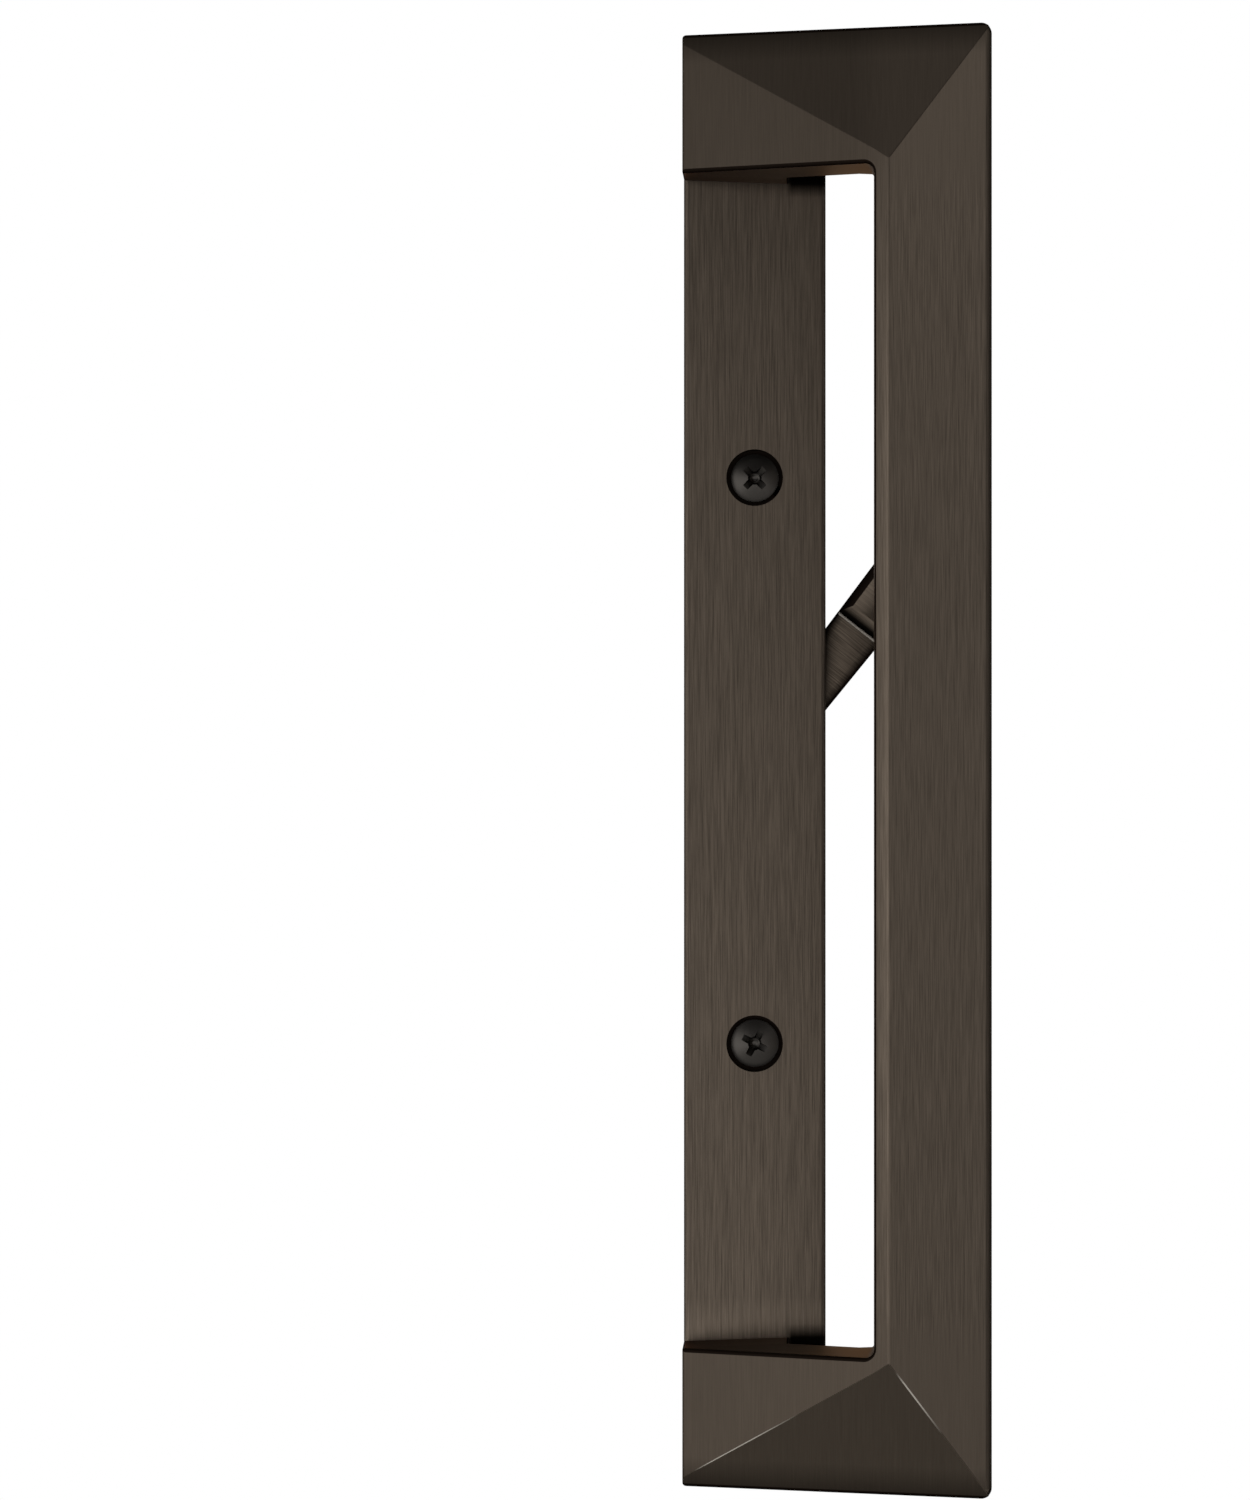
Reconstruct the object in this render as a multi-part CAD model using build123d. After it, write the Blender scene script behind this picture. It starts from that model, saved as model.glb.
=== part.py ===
from build123d import *
import os
from math import cos, radians, sin, tan

# Inside pull handle of a sliding patio door, with its thumb latch lever.
# Millimetres. The origin is on the door face, midway between the two mounting screws.
# +X points to the grip, +Y into the door and +Z up. "Height" is the distance in front of the plate.

# Overall sizes
HANDLE_LENGTH = 254.0
PLATE_WIDTH = 25.0
PLATE_DEPTH = 12.5

# Escutcheon plate, a hollow casting
FACE_WALL = 3.0
SIDE_WALL = 2.5
PLATE_EDGE_R = 0.8
FOOT_WALL = 5.5
RIB_THICKNESS = 2.0
RIB_HEIGHT = 4.5
RIB_OFFSET = 16.0
POCKET_CORNER_R = 1.5

# Mounting screws, with a chamfered head
SCREW_SPACING = 100.0
SCREW_R = 2.083
SCREW_SHANK_R = 1.85
SCREW_LENGTH = 50.8
SCREW_POINT = 1.2
SCREW_HEAD_R = 4.2
SCREW_HEAD_HEIGHT = 2.5
SCREW_HEAD_CHAMFER = 1.0
SCREW_HOLE_CLEARANCE = 0.25
COUNTERBORE_R = 5.0
COUNTERBORE_DEPTH = 3.2
BOSS_WALL = 1.7
UPPER_RECESS_TURN = 45.0
LOWER_RECESS_TURN = 28.0

# Cross recess of every screw, as shares of its head's radius or height
RECESS_SPAN = 1.05
RECESS_BLADE = 0.22
RECESS_DEPTH = 0.6

# Faceted pull: two arms and a grip under one hipped roof
FOOT_WIDTH = 18.5
LEFT_EDGE_HEIGHT = 10.4
RIDGE_OFFSET = 35.9
RIDGE_HEIGHT = 35.4
OUTER_OFFSET = 53.7
OUTER_HEIGHT = 27.2
HIP_LEFT_HEIGHT = 9.4
HIP_DEPTH = 24.0
ARM_DEPTH = 15.7
ARM_HEIGHT = 24.25
STRIP_WIDTH = 2.44
GRIP_BACK_HEIGHT = 16.5
WINDOW_DRAFT = 2.4
WINDOW_CORNER_R = 0.5
LEFT_EDGE_R = 1.0
RIDGE_R = 1.4
OUTER_EDGE_R = 1.9
OUTER_BACK_R = 4.0
FOOT_CORNER_R = 1.5
GRIP_BACK_BEND_R = 5.0
HIP_R = 0.4
END_CORNER_R = 1.4
WINDOW_FRONT_R = 1.1
WINDOW_BACK_R = 1.2

# Screws that hold the pull to the plate, from behind
GRIP_SCREW_R = 2.0
GRIP_SCREW_PITCH = 11.0
GRIP_SCREW_GRIP = 8.0
GRIP_SCREW_HEAD_R = 3.8
GRIP_SCREW_HEAD_HEIGHT = 2.4
TAPPED_END_ROOM = 1.5

# Thumb lever and its pivot
LEVER_REST_DEG = 52.0
LEVER_TRAVEL_DEG = 100.0
LEVER_REACH = 44.0
LEVER_ROOT_WIDTH = 8.1
LEVER_TIP_WIDTH = 9.9
LEVER_THICKNESS = 4.8
LEVER_STEP_RADIUS = 30.0
LEVER_GROOVE_DEPTH = 1.5
LEVER_PAD_DROP = 0.3
LEVER_PAD_BEVEL = 1.5
LEVER_PAD_RAMP = 2.3
HUB_R = 9.0
POST_R = 4.5
POST_HEIGHT = 2.4
JOURNAL_R = 5.0
JOURNAL_END_ROOM = 0.5
STOP_CLEARANCE = 0.3
SLOT_BACK_WALL = 2.4

# Washers, retainer and tailpiece behind the lever
THRUST_WASHER_THICKNESS = 0.5
THRUST_WASHER_RIM = 2.6
DISC_SPRING_THICKNESS = 0.4
DISC_SPRING_HEIGHT = 1.1
DISC_SPRING_RIM = 2.6
RETAINER_THICKNESS = 1.5
RETAINER_WIDTH = 15.0
RETAINER_SCREW_SPACING = 36.0
RETAINER_SCREW_R = 1.5
RETAINER_SCREW_LENGTH = 6.0
RETAINER_SCREW_HEAD_R = 2.8
RETAINER_SCREW_HEAD_HEIGHT = 1.2
RETAINER_BOSS_WALL = 1.75
RETAINER_END_MARGIN = 4.5
PILOT_END_ROOM = 0.75
TAILPIECE_WIDTH = 6.35
TAILPIECE_THICKNESS = 2.0
TAILPIECE_REACH = 38.0
TAILPIECE_HEAD_WIDTH = 8.4
TAILPIECE_HEAD_LENGTH = 1.5
TAILPIECE_TIP_R = 1.2

# Clearances, and the distance under which two things touch
RUNNING_CLEARANCE = 0.05
SEAT_CLEARANCE = 0.05
SLIP_CLEARANCE = 0.1
TOUCHING = 0.0001

# Places worked out from the sizes above
LEFT_X = -PLATE_WIDTH / 2
RIGHT_X = PLATE_WIDTH / 2
TOP_Z = HANDLE_LENGTH / 2
FACE_Y = -PLATE_DEPTH
INNER_Y = FACE_Y + FACE_WALL
RIDGE_X = LEFT_X + RIDGE_OFFSET
OUTER_X = LEFT_X + OUTER_OFFSET
GRIP_INNER_X = RIDGE_X - STRIP_WIDTH
FOOT_X = LEFT_X + FOOT_WIDTH
ARM_SLOPE = (RIDGE_HEIGHT - LEFT_EDGE_HEIGHT) / RIDGE_OFFSET
WINDOW_Z = TOP_Z - ARM_HEIGHT
APEX_Z = TOP_Z - HIP_DEPTH
GRIP_SCREW_X = LEFT_X + FOOT_WIDTH / 2
GRIP_SCREW_SEAT_Y = FACE_Y + FOOT_WALL
SCREW_SEAT_Y = FACE_Y + COUNTERBORE_DEPTH
SCREW_Z = SCREW_SPACING / 2
BOSS_R = COUNTERBORE_R + BOSS_WALL
LEVER_WIDENING = (LEVER_TIP_WIDTH - LEVER_ROOT_WIDTH) / LEVER_REACH
LEVER_FRONT_Y = INNER_Y + THRUST_WASHER_THICKNESS + SEAT_CLEARANCE
LEVER_BACK_Y = LEVER_FRONT_Y + LEVER_THICKNESS
RETAINER_FRONT_Y = LEVER_BACK_Y + DISC_SPRING_HEIGHT + 2 * SEAT_CLEARANCE
RETAINER_BACK_Y = RETAINER_FRONT_Y + RETAINER_THICKNESS
POST_END_Y = INNER_Y + POST_HEIGHT
TAILPIECE_HEAD_Y = POST_END_Y + SLIP_CLEARANCE
HUB_WEB_Y = TAILPIECE_HEAD_Y + TAILPIECE_HEAD_LENGTH + SLIP_CLEARANCE
HUB_RECESS_R = POST_R + RUNNING_CLEARANCE
RETAINER_SCREW_Z = RETAINER_SCREW_SPACING / 2
RETAINER_BOSS_R = RETAINER_SCREW_R + RETAINER_BOSS_WALL


def arm_height(x):
    """Height of the left slope of the roof at x."""
    return LEFT_EDGE_HEIGHT + ARM_SLOPE * (x - LEFT_X)


def at_height(x, height, z=0.0):
    """A point at a height in front of the plate."""
    return Vector(x, FACE_Y - height, z)


def rod(radius, y_start, y_end, x=0.0, z=0.0):
    """A cylinder along Y between two places."""
    return Pos(x, (y_start + y_end) / 2, z) * Rot(90, 0, 0) * Cylinder(radius, abs(y_end - y_start))


def bar(x_start, x_end, y_start, y_end, z_start, z_end):
    """A box between two corners."""
    centre = Pos((x_start + x_end) / 2, (y_start + y_end) / 2, (z_start + z_end) / 2)
    return centre * Box(x_end - x_start, y_end - y_start, z_end - z_start)


def turned(*points):
    """A solid of revolution about Y, from points given as (radius, y)."""
    return revolve(make_face(Polyline(*points, close=True)), Axis.Y)


def front_plane(y):
    """A drawing plane that faces the user, with X to the right and Z up."""
    return Plane.XZ.offset(-y)


def hip_plane(end):
    """The sloping plane at the top (end = 1) or bottom (end = -1) of the pull."""
    left = at_height(LEFT_X, HIP_LEFT_HEIGHT, end * TOP_Z)
    outer = at_height(OUTER_X, OUTER_HEIGHT, end * TOP_Z)
    apex = at_height(RIDGE_X, RIDGE_HEIGHT, end * APEX_Z)
    normal = (outer - left).cross(apex - left)
    return Plane(origin=left, z_dir=normal if normal.Z * end > 0 else -normal)


def window_plane(end):
    """The drafted end face of the window, level with the arm's height at the left slope."""
    draft = tan(radians(WINDOW_DRAFT))
    corner = at_height(LEFT_X, LEFT_EDGE_HEIGHT, end * WINDOW_Z)
    return Plane(origin=corner, z_dir=(draft * ARM_SLOPE, draft, end))


def pull_section():
    """The outline of the arms, with the grip at its right end, seen along Z."""
    bend_x = LEFT_X + (GRIP_BACK_HEIGHT + ARM_DEPTH - LEFT_EDGE_HEIGHT) / ARM_SLOPE
    rounded_corners = [
        (at_height(LEFT_X, LEFT_EDGE_HEIGHT), LEFT_EDGE_R),
        (at_height(RIDGE_X, RIDGE_HEIGHT), RIDGE_R),
        (at_height(OUTER_X, OUTER_HEIGHT), OUTER_EDGE_R),
        (at_height(OUTER_X, GRIP_BACK_HEIGHT), OUTER_BACK_R),
        (at_height(bend_x, GRIP_BACK_HEIGHT), GRIP_BACK_BEND_R),
        (at_height(FOOT_X, arm_height(FOOT_X) - ARM_DEPTH), FOOT_CORNER_R),
    ]
    corners = [corner for corner, _ in rounded_corners]
    section = make_face(Polyline(at_height(LEFT_X, 0.0), *corners, at_height(FOOT_X, 0.0), close=True))
    for corner, radius in rounded_corners:
        section = fillet(section.vertices().sort_by_distance(corner)[0], radius)
    return section


def window_block():
    """The space between the arms, open to the left, with drafted ends and rounded inner corners."""
    past = OUTER_OFFSET
    block = bar(LEFT_X - past, GRIP_INNER_X, FACE_Y - RIDGE_HEIGHT - past, FACE_Y + past, -TOP_Z, TOP_Z)
    for end in (1, -1):
        block = split(block, bisect_by=window_plane(end), keep=Keep.BOTTOM)
    inner_wall = block.faces().sort_by(Axis.X)[-1]
    corners = [edge for edge in inner_wall.edges() if abs((edge @ 1 - edge @ 0).Y) > past]
    return fillet(corners, WINDOW_CORNER_R)


def lies_on(edge, faces):
    """How many of the faces hold the whole edge."""
    points = [edge @ share for share in (0.1, 0.5, 0.9)]
    return sum(all(face.distance_to(point) < TOUCHING for point in points) for face in faces)


def window_rim(pull, block):
    """The edges round the window, as those at its front and those at its back."""
    upright = [face for face in block.faces() if abs(face.normal_at().Y) < 0.5]
    walls = [face for face in upright if face.center().X > LEFT_X - OUTER_OFFSET]
    front, back = [], []
    for edge in pull.edges():
        middle = edge @ 0.5
        on_seat = abs(middle.Y - FACE_Y) < TOUCHING
        if on_seat or lies_on(edge, walls) != 1:
            continue
        mid_height = arm_height(middle.X) - ARM_DEPTH / 2
        at_front = middle.X < FOOT_X - FOOT_WIDTH / 2 or FACE_Y - middle.Y > mid_height
        (front if at_front else back).append(edge)
    return front, back


def hip_edges(pull):
    """The edges round both sloping end faces."""
    edges = []
    for end in (1, -1):
        plane = hip_plane(end)
        for face in pull.faces().filter_by(GeomType.PLANE):
            if face.normal_at().dot(plane.z_dir) > 1 - TOUCHING:
                edges.extend(face.edges())
    return edges


def grip_screw_places():
    """The screws that hold the pull, as (name, z)."""
    places = []
    for side, end in (("upper", 1), ("lower", -1)):
        middle = end * (TOP_Z - ARM_HEIGHT / 2)
        places.append((f"grip_screw_{side}_outer", middle + end * GRIP_SCREW_PITCH / 2))
        places.append((f"grip_screw_{side}_inner", middle - end * GRIP_SCREW_PITCH / 2))
    return places


def end_outline():
    """A block with the handle's front outline, whose outer corners are rounded."""
    past = OUTER_OFFSET
    block = bar(LEFT_X, OUTER_X, FACE_Y - past, FACE_Y, -TOP_Z, TOP_Z)
    return fillet(block.edges().filter_by(Axis.Y).group_by(Axis.X)[-1], END_CORNER_R)


def make_pull_grip():
    """The faceted casting: roof-shaped arms and grip, with tapped holes in its feet."""
    block = window_block()
    pull = extrude(pull_section(), TOP_Z, both=True) & end_outline()
    for end in (1, -1):
        pull = split(pull, bisect_by=hip_plane(end), keep=Keep.BOTTOM)
    pull -= block
    front, back = window_rim(pull, block)
    pull = fillet(front, WINDOW_FRONT_R)
    front, back = window_rim(pull, block)
    pull = fillet(back, WINDOW_BACK_R)
    pull = fillet(hip_edges(pull), HIP_R)
    depth = GRIP_SCREW_GRIP + TAPPED_END_ROOM
    for _, z in grip_screw_places():
        pull -= rod(GRIP_SCREW_R + RUNNING_CLEARANCE, FACE_Y, FACE_Y - depth, GRIP_SCREW_X, z)
    return pull


def lever_half_width(along):
    """Half the lever's width at a distance from its pivot."""
    return (LEVER_ROOT_WIDTH + LEVER_WIDENING * along) / 2


def slot_end(angle):
    """Where the lever's leading side leaves the plate's right wall, at an angle from +X."""
    across, up = cos(radians(angle)), sin(radians(angle))
    along = (RIGHT_X + LEVER_ROOT_WIDTH / 2 * up) / (across - LEVER_WIDENING / 2 * up)
    return along * up + lever_half_width(along) * across + STOP_CLEARANCE


def make_escutcheon():
    """The hollow plate, open at the back, with bosses, ribs, the pivot post and the lever's slot."""
    plate = bar(LEFT_X, RIGHT_X, FACE_Y, 0.0, -TOP_Z, TOP_Z)
    plate = fillet(plate.faces().sort_by(Axis.Y)[0].edges().filter_by(Axis.Z), PLATE_EDGE_R)

    inside_x = RIGHT_X - SIDE_WALL
    foot_z = WINDOW_Z - SIDE_WALL
    end_z = TOP_Z - SIDE_WALL
    for floor_y, half_length in ((INNER_Y, foot_z), (GRIP_SCREW_SEAT_Y, end_z)):
        pocket = RectangleRounded(2 * inside_x, 2 * half_length, POCKET_CORNER_R)
        plate -= extrude(front_plane(0.0) * pocket, -floor_y)

    for end in (1, -1):
        plate += rod(BOSS_R, INNER_Y, 0.0, z=end * SCREW_Z)
        plate += rod(RETAINER_BOSS_R, INNER_Y, RETAINER_FRONT_Y, z=end * RETAINER_SCREW_Z)
        for offset in (-RIB_OFFSET, RIB_OFFSET):
            rib_start = end * SCREW_Z + offset - RIB_THICKNESS / 2
            rib_end = rib_start + RIB_THICKNESS
            plate += bar(-inside_x, inside_x, INNER_Y, INNER_Y + RIB_HEIGHT, rib_start, rib_end)
    plate += rod(POST_R, INNER_Y, POST_END_Y)

    for end in (1, -1):
        plate -= rod(COUNTERBORE_R, FACE_Y, SCREW_SEAT_Y, z=end * SCREW_Z)
        plate -= rod(SCREW_R + SCREW_HOLE_CLEARANCE, FACE_Y, 0.0, z=end * SCREW_Z)
        pilot_r = RETAINER_SCREW_R + RUNNING_CLEARANCE
        pilot_y = RETAINER_BACK_Y - RETAINER_SCREW_LENGTH - PILOT_END_ROOM
        plate -= rod(pilot_r, pilot_y, RETAINER_FRONT_Y, z=end * RETAINER_SCREW_Z)
    for _, z in grip_screw_places():
        plate -= rod(GRIP_SCREW_R + SCREW_HOLE_CLEARANCE, FACE_Y, GRIP_SCREW_SEAT_Y, GRIP_SCREW_X, z)

    low, high = -slot_end(LEVER_TRAVEL_DEG - LEVER_REST_DEG), slot_end(LEVER_REST_DEG)
    plate -= bar(inside_x, RIGHT_X + SIDE_WALL, INNER_Y, -SLOT_BACK_WALL, low, high)
    return plate


def lever_quad(start, end, y, inset=0.0):
    """A tapered four-sided outline along +X across the lever, with its long sides drawn in by an inset."""
    near = lever_half_width(start) - inset
    far = lever_half_width(end) - inset
    points = [(start, -near), (end, -far), (end, far), (start, near)]
    return front_plane(y) * make_face(Polyline(*points, close=True))


def at_rest(piece):
    """Turn a piece that was modelled along +X to the lever's rest angle."""
    return Rot(0, -LEVER_REST_DEG, 0) * piece


def make_thumb_lever():
    """The lever: hub and journal, a plain block, then a groove and a ramp up to the thumb pad."""
    groove_y = LEVER_FRONT_Y + LEVER_GROOVE_DEPTH
    pad_y = LEVER_FRONT_Y + LEVER_PAD_DROP
    pad_start, pad_end = LEVER_STEP_RADIUS + LEVER_PAD_RAMP, LEVER_REACH - LEVER_PAD_BEVEL
    lever = extrude(lever_quad(0.0, LEVER_STEP_RADIUS, LEVER_BACK_Y), LEVER_THICKNESS)
    lever += extrude(
        lever_quad(LEVER_STEP_RADIUS, LEVER_REACH, LEVER_BACK_Y), LEVER_THICKNESS - LEVER_GROOVE_DEPTH
    )
    lever += loft([
        lever_quad(LEVER_STEP_RADIUS, LEVER_REACH, groove_y),
        lever_quad(pad_start, pad_end, pad_y, LEVER_PAD_BEVEL),
    ])
    lever += rod(HUB_R, LEVER_FRONT_Y, LEVER_BACK_Y)
    lever += rod(JOURNAL_R, LEVER_BACK_Y, -JOURNAL_END_ROOM)
    lever -= rod(HUB_RECESS_R, LEVER_FRONT_Y, HUB_WEB_Y)
    half_width = TAILPIECE_WIDTH / 2 + SLIP_CLEARANCE
    half_thickness = TAILPIECE_THICKNESS / 2 + SLIP_CLEARANCE
    lever -= bar(-half_width, half_width, HUB_WEB_Y, 0.0, -half_thickness, half_thickness)
    return at_rest(lever)


def make_tailpiece():
    """The flat blade that works the lock, held in the hub by its cross head."""
    half = TAILPIECE_THICKNESS / 2
    head_end = TAILPIECE_HEAD_Y + TAILPIECE_HEAD_LENGTH
    blade = bar(-TAILPIECE_WIDTH / 2, TAILPIECE_WIDTH / 2, TAILPIECE_HEAD_Y, TAILPIECE_REACH, -half, half)
    tip = blade.faces().sort_by(Axis.Y)[-1]
    blade = fillet(tip.edges().filter_by(Axis.Z), TAILPIECE_TIP_R)
    blade += bar(-TAILPIECE_HEAD_WIDTH / 2, TAILPIECE_HEAD_WIDTH / 2, TAILPIECE_HEAD_Y, head_end, -half, half)
    return at_rest(blade)


def make_thrust_washer():
    """The plastic washer between the plate and the lever's hub."""
    inner = POST_R + SLIP_CLEARANCE
    outer = inner + THRUST_WASHER_RIM
    end_y = INNER_Y + THRUST_WASHER_THICKNESS
    return rod(outer, INNER_Y, end_y) - rod(inner, INNER_Y, end_y)


def make_disc_spring():
    """The coned spring washer that keeps the lever where it is put."""
    inner = JOURNAL_R + SLIP_CLEARANCE
    outer = inner + DISC_SPRING_RIM
    start_y = LEVER_BACK_Y + SEAT_CLEARANCE
    end_y = start_y + DISC_SPRING_HEIGHT
    return turned(
        (outer, start_y),
        (outer, start_y + DISC_SPRING_THICKNESS),
        (inner, end_y),
        (inner, end_y - DISC_SPRING_THICKNESS),
    )


def make_lever_retainer():
    """The stamped strip that holds the lever in the plate."""
    length = RETAINER_SCREW_SPACING + 2 * RETAINER_END_MARGIN
    outline = RectangleRounded(RETAINER_WIDTH, length, RETAINER_END_MARGIN)
    retainer = extrude(front_plane(RETAINER_BACK_Y) * outline, RETAINER_THICKNESS)
    retainer -= rod(JOURNAL_R + RUNNING_CLEARANCE, RETAINER_FRONT_Y, RETAINER_BACK_Y)
    for end in (1, -1):
        hole_r = RETAINER_SCREW_R + SLIP_CLEARANCE
        retainer -= rod(hole_r, RETAINER_FRONT_Y, RETAINER_BACK_Y, z=end * RETAINER_SCREW_Z)
    return retainer


def cross_screw(head_r, head_height, recess_turn, *profile):
    """A screw along +Y with its seat at y = 0, turned from (radius, y) points below its flat top."""
    screw = turned((0.0, -head_height), *profile, (0.0, profile[-1][1]))
    reach = head_r * RECESS_SPAN / 2
    half_blade = head_r * RECESS_BLADE / 2
    bottom_y = -head_height * (1 - RECESS_DEPTH)
    for turn in (recess_turn, recess_turn + 90):
        screw -= Rot(0, turn, 0) * bar(-reach, reach, -head_height, bottom_y, -half_blade, half_blade)
    return screw


def make_mounting_screw(z, recess_turn):
    """A long machine screw whose rolled thread starts at the door face."""
    profile = [
        (SCREW_HEAD_R - SCREW_HEAD_CHAMFER, -SCREW_HEAD_HEIGHT),
        (SCREW_HEAD_R, -SCREW_HEAD_HEIGHT + SCREW_HEAD_CHAMFER),
        (SCREW_HEAD_R, 0.0),
        (SCREW_SHANK_R, 0.0),
        (SCREW_SHANK_R, -SCREW_SEAT_Y),
        (SCREW_R, -SCREW_SEAT_Y),
        (SCREW_R, SCREW_LENGTH - SCREW_POINT),
        (SCREW_R - SCREW_POINT / 2, SCREW_LENGTH),
    ]
    return Pos(0, SCREW_SEAT_Y, z) * cross_screw(SCREW_HEAD_R, SCREW_HEAD_HEIGHT, recess_turn, *profile)


def make_short_screw(radius, length, head_r, head_height, seat):
    """A short screw with a plain round head, driven from behind, towards the user."""
    profile = [(head_r, -head_height), (head_r, 0.0), (radius, 0.0), (radius, length)]
    return Pos(*seat) * Rot(180, 0, 0) * cross_screw(head_r, head_height, 0.0, *profile)


def make_screws():
    """Every screw by its name."""
    screws = {
        "mounting_screw_upper": make_mounting_screw(SCREW_Z, UPPER_RECESS_TURN),
        "mounting_screw_lower": make_mounting_screw(-SCREW_Z, LOWER_RECESS_TURN),
    }
    for name, z in grip_screw_places():
        seat = (GRIP_SCREW_X, GRIP_SCREW_SEAT_Y, z)
        length = FOOT_WALL + GRIP_SCREW_GRIP
        screws[name] = make_short_screw(GRIP_SCREW_R, length, GRIP_SCREW_HEAD_R, GRIP_SCREW_HEAD_HEIGHT, seat)
    for side, end in (("upper", 1), ("lower", -1)):
        screws[f"retainer_screw_{side}"] = make_short_screw(
            RETAINER_SCREW_R,
            RETAINER_SCREW_LENGTH,
            RETAINER_SCREW_HEAD_R,
            RETAINER_SCREW_HEAD_HEIGHT,
            (0.0, RETAINER_BACK_Y, end * RETAINER_SCREW_Z),
        )
    return screws


def make_pieces():
    """Every piece of the handle by its name."""
    return {
        "escutcheon": make_escutcheon(),
        "pull_grip": make_pull_grip(),
        "thumb_lever": make_thumb_lever(),
        "tailpiece": make_tailpiece(),
        "thrust_washer": make_thrust_washer(),
        "disc_spring": make_disc_spring(),
        "lever_retainer": make_lever_retainer(),
        **make_screws(),
    }


if __name__ == "__main__":
    os.makedirs("parts", exist_ok=True)
    for name, piece in make_pieces().items():
        export_step(piece, f"parts/{name}.step")
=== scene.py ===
from math import cos, pi, radians, sin, tan

import bmesh
import bpy
from mathutils import Matrix, Vector


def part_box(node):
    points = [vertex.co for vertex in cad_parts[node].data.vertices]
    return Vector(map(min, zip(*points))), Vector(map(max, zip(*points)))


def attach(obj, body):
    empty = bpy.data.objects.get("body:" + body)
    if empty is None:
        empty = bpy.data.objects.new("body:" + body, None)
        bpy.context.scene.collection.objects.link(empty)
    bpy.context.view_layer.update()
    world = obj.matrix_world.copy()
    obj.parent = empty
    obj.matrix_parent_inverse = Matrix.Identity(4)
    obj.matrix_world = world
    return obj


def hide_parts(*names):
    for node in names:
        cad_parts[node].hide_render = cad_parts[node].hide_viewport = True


bl_info = {
    "name": "Patio Door Pull Handle",
    "version": (1, 0, 0),
    "blender": (4, 5, 0),
    "location": "3D View > Sidebar > Door Handle",
    "description": "Models and dresses the faceted pull of a sliding patio door, with its thumb latch",
    "category": "Object",
}

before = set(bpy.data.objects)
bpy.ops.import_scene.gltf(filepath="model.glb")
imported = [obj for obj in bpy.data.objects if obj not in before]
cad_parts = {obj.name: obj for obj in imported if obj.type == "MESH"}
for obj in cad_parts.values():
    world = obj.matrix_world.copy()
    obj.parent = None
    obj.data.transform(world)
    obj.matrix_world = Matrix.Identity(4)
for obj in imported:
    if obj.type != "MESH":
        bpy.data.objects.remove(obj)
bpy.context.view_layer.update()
MM = 0.001

# The photograph's frame, and the point in it that the camera faces, in pixels
PHOTO_WIDTH = 1250
PHOTO_HEIGHT = 1500
FACED_X = 840.4
FACED_Y = 760.65

# The packed part gives the outer sizes
PLATE_LOW, PLATE_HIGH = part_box("escutcheon")
PULL_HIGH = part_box("pull_grip")[1]
LEVER_LOW, LEVER_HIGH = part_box("thumb_lever")
SCREW_LOW, SCREW_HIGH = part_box("mounting_screw_upper")
TINY = 0.01 * MM
MERGE = 0.001 * MM

# How nearly a face looks in a direction to count as facing it
PARALLEL = 0.999

# The axis of a share that counts along Z from the handle's middle to either end
BOTH_ENDS = "both ends"

# Material slots of the lever, the pull and the plate
LEVER_BRUSHED, LEVER_PATINA_AND_SHADE, LEVER_PAD_PAINTED_LIGHT, LEVER_PAINTED_GLINT, LEVER_RAMP = range(5)
PULL_BRUSHED, PULL_CAST, PULL_SIDES_PAINTED_SHADE, PULL_PAINTED_GLINT, PULL_PATINA_AND_SHADE = range(5)
PLATE_BRUSHED, PLATE_PATINA_AND_SHADE, PLATE_SIDES = range(3)


# Colours and sizes


def linear(hex_colour):
    """An sRGB hex colour as linear red, green and blue."""
    channels = [int(hex_colour[start:start + 2], 16) / 255 for start in (1, 3, 5)]
    return [c / 12.92 if c <= 0.04045 else ((c + 0.055) / 1.055) ** 2.4 for c in channels]


def shaded(colour, share=1.0):
    """A linear colour, darker or lighter by a share, as a socket or a ramp takes it."""
    return (*[min(1.0, share * c) for c in colour], 1.0)


def length(name, description, millimetres):
    """A length that a user may change."""
    return bpy.props.FloatProperty(
        name=name,
        description=description,
        default=millimetres * MM,
        min=0.0,
        precision=5,
        subtype="DISTANCE",
        unit="LENGTH",
    )


def angle(name, description, degrees):
    """An angle that a user may change."""
    return bpy.props.FloatProperty(
        name=name, description=description, default=radians(degrees), subtype="ANGLE", unit="ROTATION"
    )


def colour(name, description, hex_colour):
    """A colour that a user may change."""
    return bpy.props.FloatVectorProperty(
        name=name, description=description, default=linear(hex_colour), min=0.0, max=1.0, subtype="COLOR"
    )


def factor(name, description, share):
    """A share or a level of light that a user may change."""
    return bpy.props.FloatProperty(name=name, description=description, default=share, min=0.0)


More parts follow.
